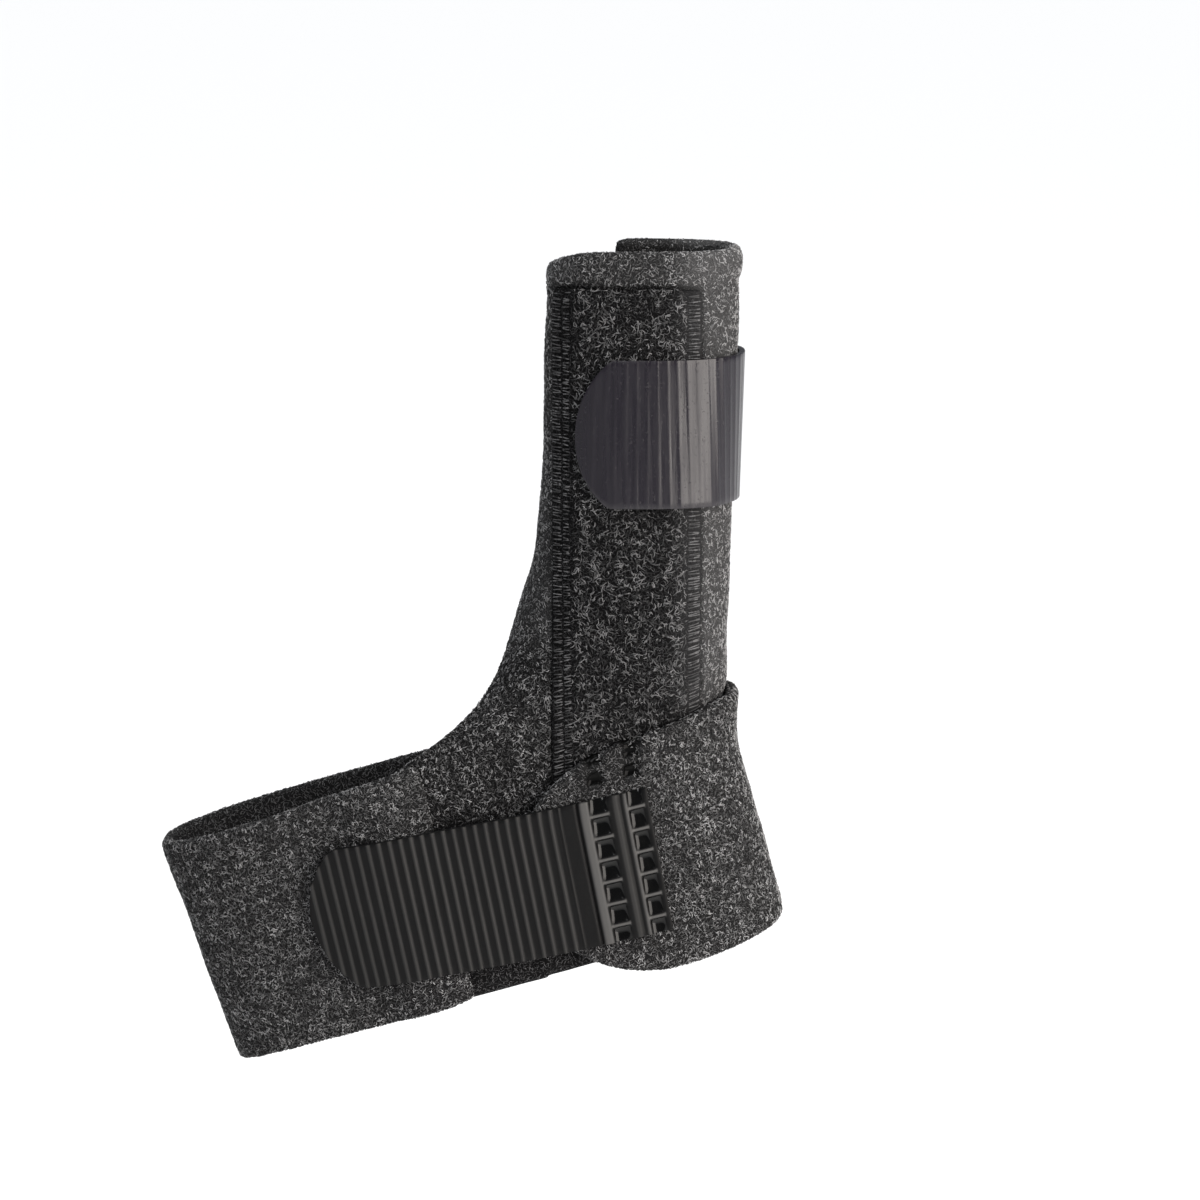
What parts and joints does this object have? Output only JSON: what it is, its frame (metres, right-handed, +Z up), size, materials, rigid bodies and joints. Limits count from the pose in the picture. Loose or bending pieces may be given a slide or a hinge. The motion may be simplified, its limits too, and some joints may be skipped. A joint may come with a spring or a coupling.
{
  "type": "finger splint",
  "caption": "Soft finger splint: a padded sleeve with a palm panel, a strap round the hand and ribbed hook tabs that close both.",
  "frame": {"origin": "on the axis of the finger sleeve at the finger's base, level with the top of the strap at its right end", "axes": "+Z up the finger sleeve to its rim, +Y from the palm side to the back of the hand, +X to the thumb side"},
  "size_m": [0.0962, 0.0359, 0.1275],
  "materials": {
    "sleeve_fabric": "brushed loop",
    "pocket_fabric": "brushed loop",
    "strap_fabric": "brushed loop",
    "palm_tab_plastic": "ribbed, satin",
    "finger_tab_plastic": "ribbed, glossy"
  },
  "bodies": {
    "root": {"sleeve_body": "sleeve_fabric", "stay_pocket": "pocket_fabric", "hand_strap": "strap_fabric", "palm_hook_tab": "palm_tab_plastic", "finger_hook_tab": "finger_tab_plastic"}
  },
  "joints": []
}
